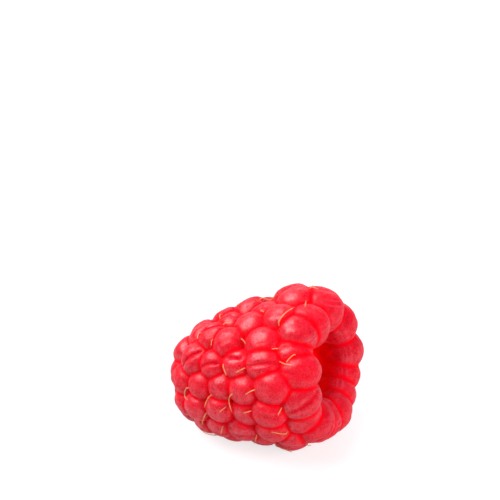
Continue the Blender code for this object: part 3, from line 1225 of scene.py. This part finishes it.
def number(name, description, value, low=0.0, high=10.0, **kind):
    return FloatProperty(name=name, description=description, default=value, min=low, max=high, **kind)


def metres(name, description, value):
    return number(name, description, value, high=1.0, precision=5, unit="LENGTH")


def degrees(name, description, value):
    turn = math.radians(value)
    return number(name, description, turn, low=-math.pi, high=math.pi, subtype="ANGLE")


def watts(name, description, value):
    return number(name, description, value, high=1000.0, unit="POWER")


def colour(name, description, value):
    return FloatVectorProperty(
        name=name, description=description, default=value, size=3, min=0.0, max=1.0, subtype="COLOR"
    )


class FleshSettings(bpy.types.PropertyGroup):
    seed: IntProperty(name="Seed", description="Which folds, lumps and tints the drupelets get", default=4)
    skin_detail: metres("Skin Detail", "Size of the skin's faces", 0.18 * MM)
    groove_softness: metres("Groove Softness", "Rounding where drupelets meet", 0.05 * MM)
    fold_depth: metres("Fold Depth", "Depth of the folds along the drupelets", 0.28 * MM)
    wall_groove_depth: metres(
        "Wall Groove Depth", "Depth of the grooves between the drupelets' roots in the hollow", 0.3 * MM
    )
    squareness: number("Squareness", "2 is a round dome, more is fuller", 2.4, 2.0, 4.0)
    groove_colour: colour("Groove Colour", "Clear flesh between the drupelets", (0.81, 0.0, 0.008))
    cap_colour: colour("Cap Colour", "Flesh on the drupelets", (0.78, 0.0005, 0.017))
    # The pale bloom colour, also laid on the crests of the pleats as a painted highlight
    bloom_and_highlight_colour: colour("Bloom Colour", "Pale specks of the bloom", (0.95, 0.29, 0.46))
    ripe_colour: colour("Ripe Colour", "Riper flesh, between the specks", (0.54, 0.0, 0.012))
    pore_colour: colour("Pore Colour", "Dark pores on the drupelets", (0.36, 0.0, 0.014))
    fold_colour: colour("Fold Colour", "The line of a drupelet's fold", (0.8, 0.0, 0.01))
    # The hollow's own red, painted brighter than the flesh to stand in for light shining through its thin
    # walls
    hollow_red_and_glow_colour: colour("Hollow Colour", "The wall of the hollow", (0.97, 0.0, 0.002))


class StyleSettings(bpy.types.PropertyGroup):
    thickness: metres("Thickness", "A style's diameter at its root", 0.13 * MM)
    bridging: metres("Bridging", "How far styles bridge the grooves under them", 0.4 * MM)
    stigma_size: number("Stigma Size", "A stigma's width, as a share of its style's", 1.6)
    style_colour: colour("Style Colour", "Dry styles", (0.80, 0.42, 0.17))
    old_style_colour: colour("Old Style Colour", "Their browner patches", (0.55, 0.24, 0.07))
    stigma_colour: colour("Stigma Colour", "The tips of the styles", (0.12, 0.03, 0.015))


class DownSettings(bpy.types.PropertyGroup):
    seed: IntProperty(name="Seed", description="Where the hairs stand", default=3)
    hairs_per_square_mm: number("Hairs per Square mm", "On the caps", 40.0, high=80.0)
    length: metres("Length", "A hair's length", 0.13 * MM)
    thickness: metres("Thickness", "A hair's diameter", 0.016 * MM)
    lean: number("Lean", "How far the hairs lean, in radians", 0.9)
    # Both hair colours hold painted red light from the flesh under the clear hairs
    pale_hair_glow_colour: colour("Down Colour", "Pale hairs", (0.95, 0.2, 0.25))
    hair_flesh_glow_colour: colour("Red Down Colour", "Hairs as red as the flesh", (0.92, 0.05, 0.08))


class StageSettings(bpy.types.PropertyGroup):
    azimuth: degrees("Azimuth", "View's turn to the fruit's right", 8.4)
    elevation: degrees("Elevation", "View's height", 36.5)
    focal_length: number("Focal Length", "In mm", 100.0, 10.0, 300.0)
    view_width: metres("View Width", "How wide a stretch the view takes in", 65.8 * MM)
    place_right: metres("Place Right", "The fruit's place right of the view's middle", 2.0 * MM)
    place_down: metres("Place Down", "The fruit's place below the view's middle", 14.8 * MM)
    room_light: number("Room Light", "Strength of the white room", 0.25)
    room_reflection: number("Room Reflection", "How bright its reflections are", 0.02)
    key_power: watts("Key Power", "Softbox above and left", 2.3)
    back_power: watts("Back Power", "Softbox behind", 0.5)
    fill_power: watts("Fill Power", "Soft light into the hollow", 1.7)
    floor_glow: number("Floor Glow", "Light from under the white floor", 0.13)
    floor_white: number("Floor White", "The glow that the view sees", 0.7)


# ---- operators


class RASPBERRY_OT_flesh(bpy.types.Operator):
    """Grow the fruit's flesh"""

    bl_idname = "raspberry.flesh"
    bl_label = "Grow Flesh"

    def execute(self, context):
        skin = build_flesh(context.scene.raspberry_flesh)
        piece = keep_as_piece("raspberry_flesh", skin, "raspberry")
        return {"FINISHED"}


class RASPBERRY_OT_styles(bpy.types.Operator):
    """Lay the dry styles over the flesh"""

    bl_idname = "raspberry.styles"
    bl_label = "Lay Styles"

    def execute(self, context):
        scene = context.scene
        keep_as_piece("dry_styles", build_styles(scene.raspberry_styles, scene.raspberry_flesh))
        return {"FINISHED"}


class RASPBERRY_OT_down(bpy.types.Operator):
    """Strew fine hairs over the flesh, which is grown first"""

    bl_idname = "raspberry.down"
    bl_label = "Strew Down"

    def execute(self, context):
        skin = bpy.data.objects["raspberry_flesh"].data
        keep_as_piece("fine_down", build_down(context.scene.raspberry_down, skin))
        return {"FINISHED"}


class RASPBERRY_OT_stage(bpy.types.Operator):
    """Set the floor, lights and camera"""

    bl_idname = "raspberry.stage"
    bl_label = "Set Stage"

    def execute(self, context):
        build_stage(context.scene.raspberry_stage)
        return {"FINISHED"}


PIECES = {
    "raspberry_flesh": (FleshSettings, RASPBERRY_OT_flesh),
    "raspberry_styles": (StyleSettings, RASPBERRY_OT_styles),
    "raspberry_down": (DownSettings, RASPBERRY_OT_down),
    "raspberry_stage": (StageSettings, RASPBERRY_OT_stage),
}


class RASPBERRY_PT_panel(bpy.types.Panel):
    """Lists the fruit's pieces"""

    bl_label = "Raspberry"
    bl_idname = "RASPBERRY_PT_panel"
    bl_space_type = "VIEW_3D"
    bl_region_type = "UI"
    bl_category = "Raspberry"

    def draw(self, context):
        for name, (settings, operator) in PIECES.items():
            box = self.layout.box()
            for prop in settings.__annotations__:
                box.prop(getattr(context.scene, name), prop)
            box.operator(operator.bl_idname)


def register():
    for name, (settings, operator) in PIECES.items():
        bpy.utils.register_class(settings)
        bpy.utils.register_class(operator)
        setattr(bpy.types.Scene, name, PointerProperty(type=settings))
    bpy.utils.register_class(RASPBERRY_PT_panel)


def unregister():
    bpy.utils.unregister_class(RASPBERRY_PT_panel)
    for name, (settings, operator) in PIECES.items():
        delattr(bpy.types.Scene, name)
        bpy.utils.unregister_class(operator)
        bpy.utils.unregister_class(settings)


def main():
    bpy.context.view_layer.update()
    register()
    bpy.ops.raspberry.flesh()
    bpy.ops.raspberry.styles()
    bpy.ops.raspberry.down()
    bpy.ops.raspberry.stage()


if __name__ == "__main__":
    main()
